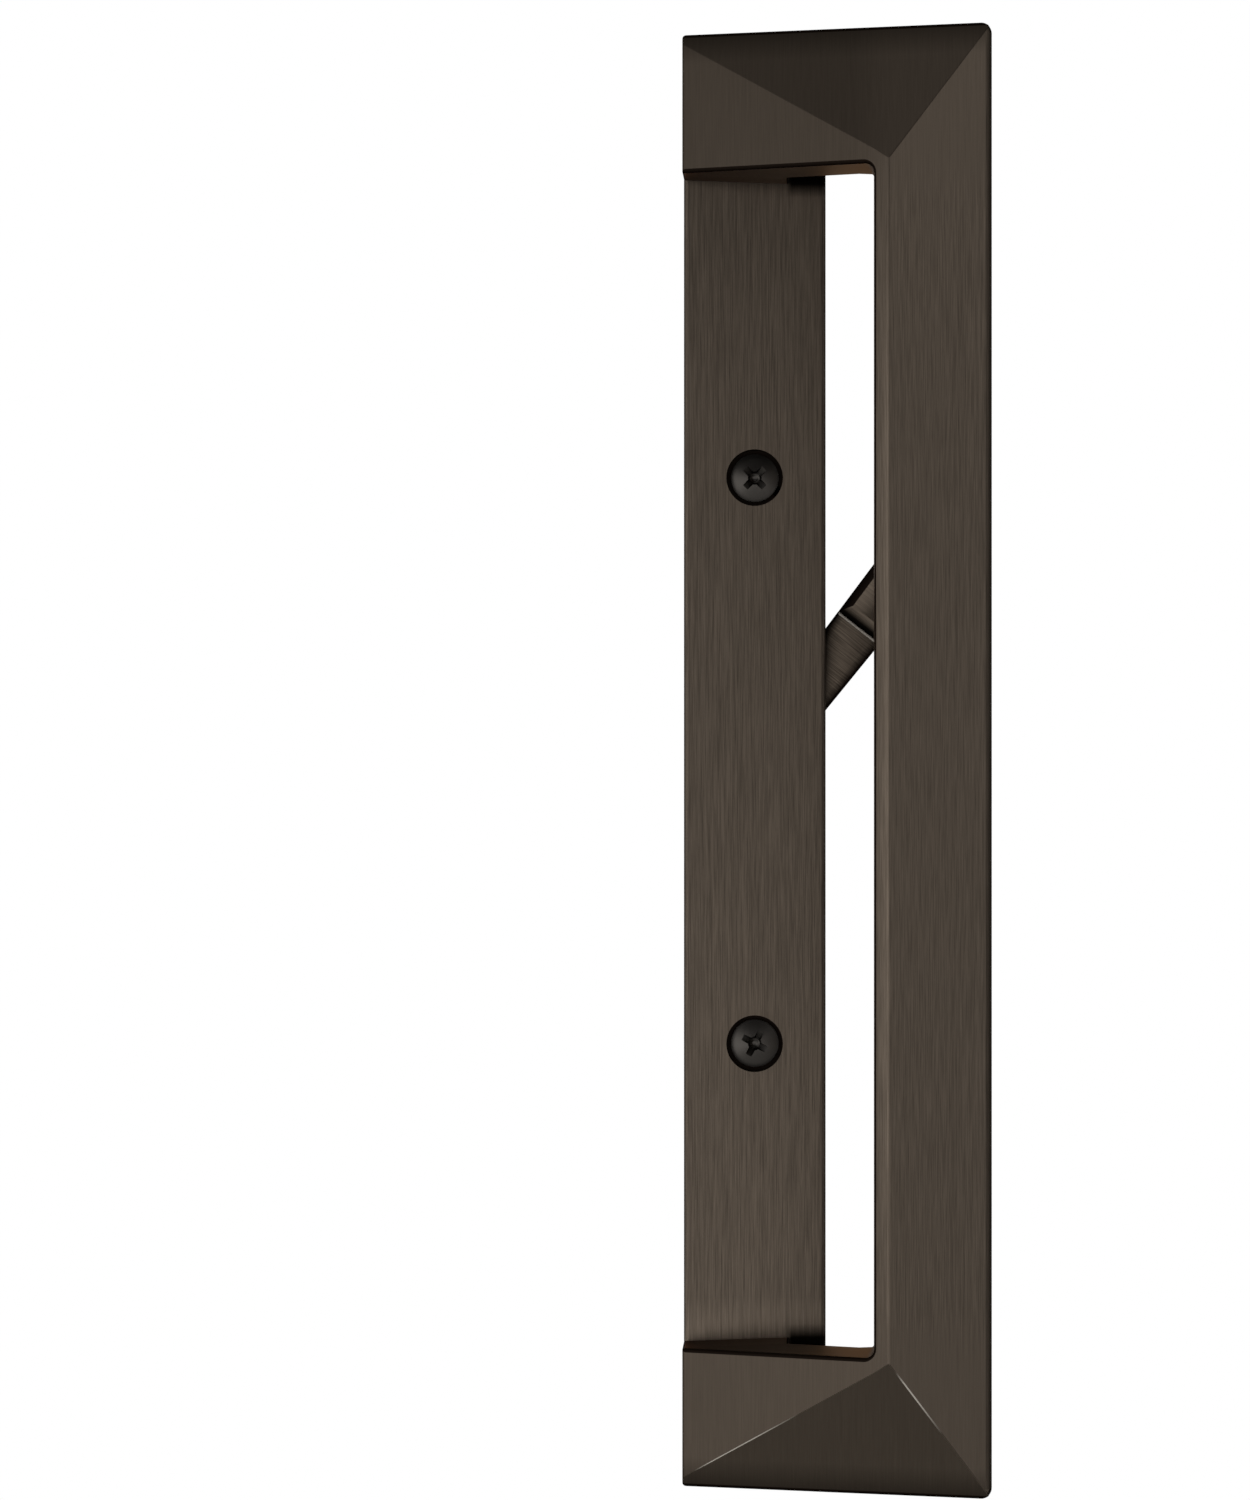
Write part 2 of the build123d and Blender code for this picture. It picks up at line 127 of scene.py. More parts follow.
class PullSizes(bpy.types.PropertyGroup):
    """Sizes of the faceted pull. A height is measured from the plate's face"""

    foot_width: length("Foot Width", "Width of the feet that stand on the plate", 18.5)
    left_height: length("Left Height", "Height of the pull's left edge", 10.4)
    ridge_offset: length("Ridge Offset", "From the left edge to the ridge", 35.9)
    ridge_height: length("Ridge Height", "Height of the ridge", 35.4)
    outer_height: length("Outer Height", "Height of the grip's outer edge", 27.2)
    back_height: length("Back Height", "Height of the grip's back", 16.5)
    hip_left_height: length("Hip Height", "Height of the hipped end at its left corner", 9.4)
    hip_depth: length("Hip Depth", "From the end of the handle to the hip's apex", 24.0)
    arm_depth: length("Arm Depth", "Upright thickness of the arms", 15.7)
    arm_height: length("Arm Height", "From the end of the handle to the window", 24.25)
    strip_width: length("Strip Width", "From the window to the ridge", 2.44)
    window_draft: angle("Window Draft", "Draft of the window's ends", 1.3)
    window_splay: length("Window Splay", "How far each end of the window leans in towards the grip", 0.65)
    window_corner: length("Window Corner", "Radius of the window's inner corners in front", 1.7)
    window_back_corner: length("Window Back Corner", "Radius of those corners behind", 0.3)
    left_radius: length("Left Radius", "Radius of the left edges", 1.0)
    ridge_radius: length("Ridge Radius", "Radius of the ridge", 0.6)
    outer_radius: length("Outer Radius", "Radius of the grip's outer front edge", 1.9)
    back_radius: length("Back Radius", "Radius of the grip's outer back edge", 4.0)
    bend_radius: length("Bend Radius", "Radius where an arm's underside meets the grip's back", 5.0)
    foot_radius: length("Foot Radius", "Radius where an arm's underside meets its foot", 1.5)
    hip_radius: length("Hip Radius", "Radius of the hips", 0.3)
    end_radius: length("End Radius", "Radius of the outer corners of both ends", 1.9)
    end_left_radius: length("End Left Radius", "Radius of the left corners of both ends", 0.7)
    rim_radius: length("Rim Radius", "Radius of the front rim of both ends", 1.2)
    window_front_radius: length("Window Front Radius", "Radius of the window's front rim", 0.7)
    window_back_radius: length("Window Back Radius", "Radius of the window's back rim", 1.2)
    edge_break: length("Edge Break", "Radius of every other edge", 0.3)


class LeverSizes(bpy.types.PropertyGroup):
    """Sizes of the thumb lever, along its own length"""

    rest_angle: angle("Rest Angle", "How far the lever stands above level", 52.0)
    reach: length("Reach", "From the pivot to the tip", 44.0)
    root_width: length("Root Width", "Width at the pivot", 8.1)
    tip_width: length("Tip Width", "Width at the tip", 9.9)
    step: length("Step", "From the pivot to the groove before the thumb pad", 30.0)
    groove: length("Groove", "Depth of the groove", 1.5)
    pad_drop: length("Pad Drop", "How far the thumb pad lies below the block", 0.3)
    pad_bevel: length("Pad Bevel", "Width of the thumb pad's sloping sides", 1.5)
    pad_ramp: length("Pad Ramp", "Length of the ramp from the groove up to the thumb pad", 2.3)
    hub_radius: length("Hub Radius", "Radius of the hub inside the plate", 9.0)
    thickness: length("Thickness", "Thickness of the block and the hub", 4.8)
    journal_radius: length("Journal Radius", "Radius of the journal behind the hub", 5.0)
    recess_radius: length("Recess Radius", "Radius of the hub's recess for the pivot post", 4.55)
    recess_depth: length("Recess Depth", "Depth of that recess", 3.55)
    edge_round: length("Edge Round", "Radius of the block's front edges", 0.45)
    edge_break: length("Edge Break", "Width of the other softened edges", 0.15)


class ScrewSizes(bpy.types.PropertyGroup):
    """Sizes that the screws' own boxes don't give"""

    head_height: length("Head Height", "Height of a mounting screw's head", 2.5)
    plain_radius: length("Plain Radius", "Radius of a mounting screw inside the plate", 1.85)
    thread_radius: length("Thread Radius", "Outer radius of a mounting screw's thread", 2.083)
    thread_pitch: length("Thread Pitch", "Pitch of a mounting screw's thread", 0.794)
    upper_turn: angle("Upper Turn", "How far the upper screw's cross is turned", 45.0)
    lower_turn: angle("Lower Turn", "How far the lower screw's cross is turned", 28.0)
    spacing: length("Spacing", "Between the mounting screws", 100.0)


class HandleFinish(bpy.types.PropertyGroup):
    """Colours and grain of the finishes"""

    bronze: colour("Bronze", "Brushed bronze plating", "#4A423A")
    bronze_edge: colour("Bronze Edge", "What the bronze turns to at a glancing view", "#C6B8AA")
    cast_edge: colour("Cast Edge", "What the bronze as cast turns to at a glancing view", "#B09278")
    # This dark colour also paints shade on the pull's rims, the lever's sides and the counterbores
    patina: colour("Patina", "Dark patina that the brush doesn't reach", "#1C1612")
    bronze_roughness: factor("Bronze Roughness", "Roughness of the brushed bronze", 0.38)
    bronze_anisotropy: factor("Bronze Anisotropy", "How far the sheen spreads across the brush lines", 0.78)
    grain_width: length("Grain Width", "Width of one brush line", 0.2)
    grain_length: length("Grain Length", "Length of one brush line", 9.0)
    # Painted glint: this pale colour stands in for highlights on the hips and along the lever's step
    painted_glint: colour("Painted Glint", "Zinc where an edge is rubbed through the plating", "#B9B2A9")
    black_steel: colour("Black Steel", "Black oxide of the mounting screws", "#403D3A")
    zinc: colour("Zinc", "Zinc plating of the hidden screws", "#B6B9BC")
    steel: colour("Steel", "Bare rolled steel", "#8F8D89")
    spring: colour("Spring", "Tempered spring steel", "#3F424A")
    nylon: colour("Nylon", "Natural nylon", "#E4E1D8")


class HandleStage(bpy.types.PropertyGroup):
    """Camera and light"""

    camera_distance: length("Camera Distance", "From the camera to the plate's face", 1000.0)
    camera_side: length("Camera Side", "How far the camera stands to the right of the plate's middle", 15.15)
    lens: bpy.props.FloatProperty(
        name="Lens", description="Focal length in millimetres", default=135.86, min=1.0
    )
    floor_drop: length("Floor Drop", "From the handle's middle down to the floor", 450.0)
    floor_size: length("Floor Size", "Half the floor's width", 1400.0)
    floor_colour: colour("Floor", "Matt white paper", "#ECECEA")
    left_light: factor("Left Light", "Power of the left softbox in watts", 1.2)
    right_light: factor("Right Light", "Power of the right softbox in watts", 0.3)
    low_light: factor("Low Light", "Power of the low softbox in watts", 0.47)
    floor_light: factor("Floor Light", "Power of the lamp above the floor in watts", 0.32)


# Places of the pull


def ridge_x(sizes):
    """Where the ridge stands along X."""
    return PLATE_LOW.x + sizes.ridge_offset


def window_z(sizes):
    """Where the window's upper end lies along Z."""
    return PLATE_HIGH.z - sizes.arm_height


def front_slope(sizes):
    """How much the pull's left slope rises for each length along X."""
    return (sizes.ridge_height - sizes.left_height) / sizes.ridge_offset


def slope_normal(sizes):
    """The direction that the pull's left slope faces."""
    return Vector((-front_slope(sizes), -1.0, 0.0)).normalized()


def front_height(sizes, x):
    """Height of the pull's left slope at x."""
    return sizes.left_height + front_slope(sizes) * (x - PLATE_LOW.x)


# Nodes and materials


def add_node(tree, kind, settings=None, values=None, links=None):
    """Add a node with its settings, its socket values and the outputs that its sockets read."""
    node = tree.nodes.new(f"ShaderNode{kind}")
    for name, value in (settings or {}).items():
        setattr(node, name, value)
    for socket, value in (values or {}).items():
        node.inputs[socket].default_value = value
    for socket, output in (links or {}).items():
        tree.links.new(output, node.inputs[socket])
    return node


def new_material(name, values):
    """A material with a plain shader, as the material, its node tree and its shader."""
    material = bpy.data.materials.new(name)
    material.use_nodes = True
    tree = material.node_tree
    tree.nodes.clear()
    shader = add_node(tree, "BsdfPrincipled", values=values)
    add_node(tree, "OutputMaterial", links={"Surface": shader.outputs["BSDF"]})
    return material, tree, shader


def set_ramp(ramp, stops):
    """Give a colour ramp its stops, as pairs of a position and a colour."""
    while len(ramp.elements) < len(stops):
        ramp.elements.new(1.0)
    for element, (position, stop_colour) in zip(ramp.elements, stops):
        element.position = position
        element.color = stop_colour


def corner_painted_shade(tree):
    """How far painted shade darkens the lever's corners, by how much of the space around them is blocked."""
    openness = add_node(tree, "AmbientOcclusion", settings={"samples": 8}, values={"Distance": 4 * MM})
    return add_node(
        tree,
        "MapRange",
        values={"From Min": 0.9, "From Max": 0.5},
        links={"Value": openness.outputs["AO"]},
    ).outputs["Result"]


def inside(tree, *ranges, most=1.0):
    """How far each place lies inside all of some ranges.

    A range has an axis of the piece, the place where it starts with nothing and the place where it
    has reached most.
    """
    place = add_node(tree, "TexCoord").outputs["Object"]
    axes = add_node(tree, "SeparateXYZ", links={"Vector": place}).outputs
    share = None
    for axis, start, full in ranges:
        if axis == BOTH_ENDS:
            along = add_node(
                tree, "Math", settings={"operation": "ABSOLUTE"}, links={0: axes["Z"]}
            ).outputs["Value"]
        else:
            along = axes[axis]
        part = add_node(
            tree,
            "MapRange",
            values={"From Min": start, "From Max": full, "To Max": most},
            links={"Value": along},
        ).outputs["Result"]
        if share is None:
            share = part
        else:
            share = add_node(
                tree, "Math", settings={"operation": "MULTIPLY"}, links={0: share, 1: part}
            ).outputs["Value"]
    return share


def under_arm_painted_shadow(tree):
    """How far a painted shadow darkens the plate beside the feet and under the arms."""
    sizes = bpy.context.scene.pull_sizes
    foot_x, end_z = PLATE_LOW.x + sizes.foot_width, window_z(sizes)
    under = (BOTH_ENDS, end_z - 3.3 * MM, end_z - 0.9 * MM)
    beside = ("X", foot_x - 0.5 * MM, foot_x + 0.5 * MM)
    return inside(tree, under, beside)


def foot_painted_light(tree):
    """How far painted light brightens the plate above the lower foot."""
    foot_z = -window_z(bpy.context.scene.pull_sizes)
    return inside(tree, ("Z", foot_z + 8 * MM, foot_z))


def upper_arm_painted_shade(tree):
    """How far painted shade darkens the upper arm."""
    sizes = bpy.context.scene.pull_sizes
    edge_x, end_z = ridge_x(sizes), window_z(sizes)
    return inside(tree, ("Z", end_z - 4 * MM, end_z), ("X", edge_x, edge_x - 6 * MM))


def end_painted_shade(tree):
    """How far painted shade darkens the pull towards both ends."""
    return inside(tree, (BOTH_ENDS, PLATE_HIGH.z - 5.5 * MM, PLATE_HIGH.z))


def end_polish(tree):
    """How far the arms and the ends beyond the window are polished even, so that few lines stay."""
    end_z = window_z(bpy.context.scene.pull_sizes)
    return inside(tree, (BOTH_ENDS, end_z - 8 * MM, end_z), most=0.65)


def lever_place(tree):
    """How far along the lever and how far off its middle line each place lies."""
    turn = bpy.context.scene.lever_sizes.rest_angle
    place = add_node(tree, "TexCoord").outputs["Object"]
    along, across = (
        add_node(
            tree, "VectorMath", settings={"operation": "DOT_PRODUCT"}, values={1: way}, links={0: place}
        ).outputs["Value"]
        for way in ((cos(turn), 0.0, sin(turn)), (-sin(turn), 0.0, cos(turn)))
    )
    off_middle = add_node(tree, "Math", settings={"operation": "ABSOLUTE"}, links={0: across})
    return along, off_middle.outputs["Value"]


def ramp_painted_shadow(tree):
    """How far a painted shadow darkens the lever's ramp, from all in the groove to none at the thumb pad."""
    sizes = bpy.context.scene.lever_sizes
    return add_node(
        tree,
        "MapRange",
        values={"From Min": sizes.step + sizes.pad_ramp, "From Max": sizes.step + 0.35 * sizes.pad_ramp},
        links={"Value": lever_place(tree)[0]},
    ).outputs["Result"]


def side_painted_shade(tree):
    """How far painted shade darkens the lever along its long sides."""
    sizes = bpy.context.scene.lever_sizes
    along, off_middle = lever_place(tree)
    half_width = add_node(
        tree,
        "Math",
        settings={"operation": "MULTIPLY_ADD"},
        values={1: lever_widening(sizes) / 2, 2: sizes.root_width / 2},
        links={0: along},
    )
    inside = add_node(
        tree,
        "Math",
        settings={"operation": "SUBTRACT"},
        links={0: half_width.outputs["Value"], 1: off_middle},
    )
    return add_node(
        tree,
        "MapRange",
        values={"From Min": 1.6 * MM, "From Max": 0.5 * MM},
        links={"Value": inside.outputs["Value"]},
    ).outputs["Result"]


def strip_painted_highlight(tree):
    """How far a painted highlight lightens the strip between the window and the ridge, most beside the ridge.
    """
    sizes = bpy.context.scene.pull_sizes
    strip_x, end_z = ridge_x(sizes) - sizes.strip_width, window_z(sizes)
    facing = add_node(
        tree,
        "VectorMath",
        settings={"operation": "DOT_PRODUCT"},
        values={1: slope_normal(sizes)},
        links={0: add_node(tree, "TexCoord").outputs["Normal"]},
    )
    on_slope = add_node(
        tree,
        "MapRange",
        values={"From Min": 0.88, "From Max": 0.94},
        links={"Value": facing.outputs["Value"]},
    )
    on_strip = ("X", strip_x, strip_x + sizes.strip_width)
    near_middle = (BOTH_ENDS, end_z + 2 * MM, end_z - 50 * MM)
    return add_node(
        tree,
        "Math",
        settings={"operation": "MULTIPLY"},
        links={0: inside(tree, on_strip, near_middle), 1: on_slope.outputs["Result"]},
    ).outputs["Value"]


def brushed_bronze(name, base, grain_turn=0.0, contrast=0.28, on_sides=False, even=None, layers=()):
    """Die-cast zinc, plated in dark bronze and brushed in one direction.

    The eye sees fine straight lines, a sheen that spreads across them and a warm edge. Even is a
    function that gives at each place how far the lines are polished away. A layer is a function
    that gives its share at each place, and how much lighter it makes the bronze; the layers
    paint light and shade into the colour.
    """
    finish = bpy.context.scene.handle_finish
    material, tree, shader = new_material(name, {
        "Metallic": 1.0,
        "Roughness": finish.bronze_roughness,
        "Specular Tint": shaded(finish.bronze_edge),
        "Anisotropic": finish.bronze_anisotropy,
    })
    # A grain that is never quite square to a face keeps the sheen's direction known everywhere
    grain = add_node(
        tree,
        "VectorTransform",
        settings={"vector_type": "VECTOR", "convert_from": "OBJECT", "convert_to": "WORLD"},
        values={"Vector": (-sin(grain_turn), 0.01, cos(grain_turn))},
    )
    sheen = add_node(
        tree,
        "VectorMath",
        settings={"operation": "CROSS_PRODUCT"},
        links={0: add_node(tree, "NewGeometry").outputs["Normal"], 1: grain.outputs["Vector"]},
    )
    tree.links.new(sheen.outputs["Vector"], shader.inputs["Tangent"])
    place = add_node(tree, "TexCoord").outputs["Object"]
    turned = add_node(
        tree, "Mapping", values={"Rotation": (0.0, grain_turn, 0.0)}, links={"Vector": place}
    )
    across, along = 1 / finish.grain_width, 1 / finish.grain_length
    stroke_scale = (along, across, along) if on_sides else (across, along, along)
    stretched = add_node(
        tree, "Mapping", values={"Scale": stroke_scale}, links={"Vector": turned.outputs["Vector"]}
    )
    strokes = add_node(
        tree,
        "TexNoise",
        values={"Scale": 1.0, "Detail": 4.0, "Roughness": 0.65},
        links={"Vector": stretched.outputs["Vector"]},
    )
    lines = strokes.outputs["Fac"]
    if even:
        # Socket 0 is the share, and sockets 2 and 3 are the two values
        lines = add_node(
            tree, "Mix", settings={"data_type": "FLOAT"}, values={3: 0.5}, links={0: even(tree), 2: lines}
        ).outputs[0]
    tone = add_node(tree, "ValToRGB", links={"Fac": lines})
    set_ramp(tone.color_ramp, [(0.3, shaded(base, 1 - contrast)), (0.7, shaded(base, 1 + contrast))])
    relief = add_node(
        tree, "Bump", values={"Strength": 0.3, "Distance": 0.02 * MM}, links={"Height": lines}
    )
    shown = tone.outputs["Color"]
    for share, lighter in layers:
        # Sockets 0, 6 and 7 are the share and the two colours, and output 2 is the mixed colour
        shown = add_node(
            tree,
            "Mix",
            settings={"data_type": "RGBA", "blend_type": "MULTIPLY"},
            values={7: (lighter, lighter, lighter, 1.0)},
            links={0: share(tree), 6: shown},
        ).outputs[2]
    tree.links.new(shown, shader.inputs["Base Color"])
    tree.links.new(relief.outputs["Normal"], shader.inputs["Normal"])
    return material


def cast_bronze():
    """The same plating inside the window and behind, where no brush reaches.

    The eye sees a warm satin surface, with painted shade that darkens it towards the corner beside the plate.
    """
    finish = bpy.context.scene.handle_finish
    material, tree, shader = new_material("bronze_plated_zinc_as_cast", {
        "Metallic": 1.0,
        "Roughness": 0.5,
        "Specular Tint": shaded(finish.cast_edge),
    })
    # Painted shade darkens the narrow corner between an arm and the plate
    out_of_painted_shade = inside(tree, ("X", PLATE_LOW.x, PLATE_LOW.x + 18 * MM))
    tone = add_node(tree, "ValToRGB", links={"Fac": out_of_painted_shade})
    set_ramp(tone.color_ramp, [(0.0, shaded(finish.bronze, 0.9)), (1.0, shaded(finish.bronze, 2.0))])
    tree.links.new(tone.outputs["Color"], shader.inputs["Base Color"])
    return material


def painted_glint_bronze():
    """Painted glints on sharp edges: thin bright lines of a paler colour that stand in for highlights."""
    finish = bpy.context.scene.handle_finish
    material, tree, shader = new_material("bronze_plated_zinc_painted_glint", {
        "Metallic": 1.0,
        "Roughness": 0.26,
        "Specular Tint": shaded(finish.bronze_edge),
    })
    # Along a hip the painted glints lie near the corner of the handle and beside the ridge
    across = inside(tree, ("X", PLATE_LOW.x, PULL_HIGH.x))
    bright = add_node(tree, "ValToRGB", links={"Fac": across})
    painted_light_colour, plated = shaded(finish.painted_glint), shaded(finish.bronze)
    set_ramp(bright.color_ramp, [
        (0.04, plated), (0.09, painted_light_colour), (0.24, painted_light_colour), (0.38, plated),
        (0.69, plated), (0.72, painted_light_colour), (0.76, painted_light_colour), (0.84, plated),
    ])
    tree.links.new(bright.outputs["Color"], shader.inputs["Base Color"])
    return material


def patina_and_painted_shade():
    """The same plating, nearly black and dull: patina in the hollows, and painted shade on the pull's rims
    and the lever's sides.
    """
    finish = bpy.context.scene.handle_finish
    return new_material("bronze_plated_zinc_patina_and_painted_shade", {
        "Base Color": shaded(finish.patina),
        "Metallic": 1.0,
        "Roughness": 0.55,
        "Specular Tint": shaded(finish.bronze),
    })[0]


def plain_metal(name, base, roughness):
    """A metal with one even finish."""
    return new_material(name, {"Base Color": shaded(base), "Metallic": 1.0, "Roughness": roughness})[0]


def black_oxide_steel():
    """Cold-headed steel, tumbled and blackened: a soft black gloss."""
    finish = bpy.context.scene.handle_finish
    return plain_metal("steel_cold_headed_black_oxide", finish.black_steel, 0.34)


def moulded_nylon():
    """Natural nylon, moulded: pale, slightly waxy and without metal."""
    nylon = shaded(bpy.context.scene.handle_finish.nylon)
    return new_material("nylon_moulded", {"Base Color": nylon, "Roughness": 0.45, "IOR": 1.53})[0]


# Modelling


def finish_piece(name, bm, materials, body, nodes):
    """Turn a bmesh into a piece that rides on a body and stands for CAD nodes."""
    mesh = bpy.data.meshes.new(name)
    for face in bm.faces:
        face.smooth = True
    bm.to_mesh(mesh)
    bm.free()
    for material in materials:
        mesh.materials.append(material)
    piece = bpy.data.objects.new(name, mesh)
    bpy.context.scene.collection.objects.link(piece)
    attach(piece, body)
    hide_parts(*nodes)
    return piece


def keep_flats_flat(piece, sharp_angle):
    """Shade round forms smoothly, and let flat faces and sharp edges stay so."""
    piece.data.set_sharp_from_angle(angle=sharp_angle)
    weighting = piece.modifiers.new("flat_faces", "WEIGHTED_NORMAL")
    weighting.keep_sharp = True


def close_seams(bm):
    """Merge doubled vertices, and turn every face outwards."""
    bmesh.ops.remove_doubles(bm, verts=bm.verts, dist=MERGE)
    bmesh.ops.recalc_face_normals(bm, faces=bm.faces)


def everything(bm):
    """All the geometry of a bmesh, as an operator takes it."""
    return [*bm.verts, *bm.edges, *bm.faces]


def only(kind, geometry):
    """The geometry of one kind."""
    return [item for item in geometry if isinstance(item, kind)]


def added_verts(bm, before):
    """The vertices that a bmesh has gained."""
    return [vert for vert in bm.verts if vert not in before]


def face_outwards(bm, verts):
    """Turn the faces round some vertices outwards."""
    faces = {face for vert in verts for face in vert.link_faces}
    bmesh.ops.recalc_face_normals(bm, faces=list(faces))


def turn_about_y(bm, turn):
    """Turn a whole bmesh about Y."""
    bmesh.ops.rotate(bm, cent=(0.0, 0.0, 0.0), matrix=Matrix.Rotation(turn, 3, "Y"), verts=bm.verts)


def spin_about_y(bm, geometry, turn, steps, **more):
    """Spin geometry about Y."""
    bmesh.ops.spin(
        bm, geom=geometry, cent=(0.0, 0.0, 0.0), axis=(0.0, 1.0, 0.0), angle=turn, steps=steps, **more
    )


def round_edges(bm, edges, radius, segments, clamp_overlap=False):
    """Round edges of a bmesh, as what that makes."""
    return bmesh.ops.bevel(
        bm,
        geom=edges,
        offset=radius,
        offset_type="OFFSET",
        affect="EDGES",
        segments=segments,
        profile=0.5,
        material=-1,
        clamp_overlap=clamp_overlap,
    )


def draw_out(bm, faces):
    """Extrude faces and leave none behind inside, as the new vertices and the new faces."""
    made = bmesh.ops.extrude_face_region(bm, geom=faces)["geom"]
    behind = [face for face in faces if face.is_valid]
    bmesh.ops.delete(bm, geom=behind, context="FACES_ONLY")
    return only(bmesh.types.BMVert, made), only(bmesh.types.BMFace, made)


def cut_away(bm, cutter):
    """Take one closed shape out of another, which empties the cutter."""
    pieces = []
    for shape in (bm, cutter):
        mesh = bpy.data.meshes.new("shape")
        shape.to_mesh(mesh)
        pieces.append(bpy.data.objects.new("shape", mesh))
        bpy.context.scene.collection.objects.link(pieces[-1])
    cutter.free()
    removal = pieces[0].modifiers.new("removal", "BOOLEAN")
    removal.operation = "DIFFERENCE"
    removal.solver = "EXACT"
    removal.object = pieces[1]
    bpy.context.view_layer.update()
    left = pieces[0].evaluated_get(bpy.context.evaluated_depsgraph_get())
    bm.clear()
    bm.from_mesh(left.to_mesh())
    left.to_mesh_clear()
    for piece in pieces:
        bpy.data.meshes.remove(piece.data)


def half_pull(sizes):
    """The upper half of the pull with sharp edges, open at the handle's middle."""
    left, face, top, outer = PLATE_LOW.x, PLATE_LOW.y, PLATE_HIGH.z, PULL_HIGH.x
    ridge = ridge_x(sizes)
    inner = ridge - sizes.strip_width
    foot = left + sizes.foot_width
    bend = left + (sizes.back_height + sizes.arm_depth - sizes.left_height) / front_slope(sizes)
    bm = bmesh.new()

    def corner(x, height):
        return bm.verts.new((x, face - height, top))

    inner_front = corner(inner, front_height(sizes, inner))
    inner_back = corner(inner, sizes.back_height)
    arm = bm.faces.new([
        corner(left, 0.0),
        corner(left, sizes.left_height),
        inner_front,
        inner_back,
        corner(bend, sizes.back_height),
        corner(foot, front_height(sizes, foot) - sizes.arm_depth),
        corner(foot, 0.0),
    ])
    grip = bm.faces.new([
        inner_front,
        corner(ridge, sizes.ridge_height),
        corner(outer, sizes.outer_height),
        corner(outer, sizes.back_height),
        inner_back,
    ])

    # Down to the window, whose end is drafted and leans in towards the grip
    reached = bmesh.ops.extrude_face_region(bm, geom=[arm, grip])["geom"]
    lowered = only(bmesh.types.BMVert, reached)
    bmesh.ops.translate(bm, vec=(0.0, 0.0, -sizes.arm_height), verts=lowered)
    for vert in lowered:
        if vert.co.x < inner + TINY:
            depth = front_height(sizes, vert.co.x) - (face - vert.co.y)
            vert.co.z -= tan(sizes.window_draft) * depth
            vert.co.z -= sizes.window_splay * (vert.co.x - left) / (inner - left)

    # The grip alone goes on to the middle
    grip_end = max(only(bmesh.types.BMFace, reached), key=lambda end: end.calc_center_median().x)
    middle_verts, middle_faces = draw_out(bm, [grip_end])
    for vert in middle_verts:
        vert.co.z = 0.0
    bmesh.ops.delete(bm, geom=middle_faces, context="FACES_ONLY")

    # The hip takes off the end
    left_corner = Vector((left, face - sizes.hip_left_height, top))
    outer_corner = Vector((outer, face - sizes.outer_height, top))
    apex = Vector((ridge, face - sizes.ridge_height, top - sizes.hip_depth))
    uphill = (outer_corner - left_corner).cross(apex - left_corner)
    if uphill.z < 0:
        uphill.negate()
    trimmed = bmesh.ops.bisect_plane(
        bm, geom=everything(bm), dist=MERGE, plane_co=left_corner, plane_no=uphill, clear_outer=True
    )
    bmesh.ops.edgeloop_fill(bm, edges=only(bmesh.types.BMEdge, trimmed["geom_cut"]))

    # The window's inner corner, which is sharper behind
    corners = [
        edge for edge in bm.edges
        if all(abs(vert.co.x - inner) < TINY for vert in edge.verts)
        and all(top - sizes.hip_depth - 2 * sizes.arm_depth < vert.co.z < top - TINY for vert in edge.verts)
        and abs(edge.verts[0].co.y - edge.verts[1].co.y) > sizes.strip_width
    ]
    sharp = max((vert.co.copy() for edge in corners for vert in edge.verts), key=lambda place: place.y)
    rounded = round_edges(bm, corners, sizes.window_corner, 8)
    for vert in rounded["verts"]:
        if abs(vert.co.y - sharp.y) < TINY:
            vert.co = sharp.lerp(vert.co, sizes.window_back_corner / sizes.window_corner)
    return bm


def pull_side(face, sizes):
    """The name of the side of the pull that a face belongs to."""
    middle, normal = face.calc_center_median(), face.normal
    on_slope = normal.dot(slope_normal(sizes))
    if abs(middle.z) > PLATE_HIGH.z - TINY:
        return "end"
    if on_slope > PARALLEL:
        return "slope"
    if on_slope < -PARALLEL:
        return "underside"
    if normal.y > PARALLEL:
        return "seat" if middle.y > PLATE_LOW.y - TINY else "back"
    if normal.x > PARALLEL:
        return "outer" if middle.x > PULL_HIGH.x - TINY else "foot"
    if normal.x < -PARALLEL and middle.x < PLATE_LOW.x + TINY:
        return "left"
    if normal.y < -0.5:
        return "hip" if abs(normal.z) > 0.1 else "roof"
    return "window"


def weigh_pull_edges(bm, sizes):
    """Give each edge of the pull its radius as a bevel weight, and return the widest bevel."""
    radii = {
        ("left", "slope"): sizes.left_radius,
        ("roof", "slope"): sizes.ridge_radius,
        ("outer", "roof"): sizes.outer_radius,
        ("back", "outer"): sizes.back_radius,
        ("back", "underside"): sizes.bend_radius,
        ("foot", "underside"): sizes.foot_radius,
        ("end", "outer"): sizes.end_radius,
        ("end", "left"): sizes.end_left_radius,
        ("end", "hip"): sizes.rim_radius,
        ("hip", "slope"): sizes.hip_radius,
        ("hip", "roof"): sizes.hip_radius,
        ("slope", "window"): sizes.window_front_radius,
        ("underside", "window"): sizes.window_back_radius,
        ("back", "window"): sizes.window_back_radius,
    }
    weight = bm.edges.layers.float.new("bevel_weight_edge")
    widths = {}
    for edge in bm.edges:
        sides = tuple(sorted(pull_side(face, sizes) for face in edge.link_faces))
        if sides[0] != sides[1] and "seat" not in sides:
            widths[edge] = radii.get(sides, sizes.edge_break) * tan(edge.calc_face_angle() / 2)
    widest = max(widths.values())
    for edge, width in widths.items():
        edge[weight] = width / widest
    return widest


def bake_modifiers(piece):
    """Give a piece the mesh that its modifiers make."""
    shaped = piece.evaluated_get(bpy.context.evaluated_depsgraph_get())
    piece.data = bpy.data.meshes.new_from_object(shaped)
    piece.modifiers.clear()


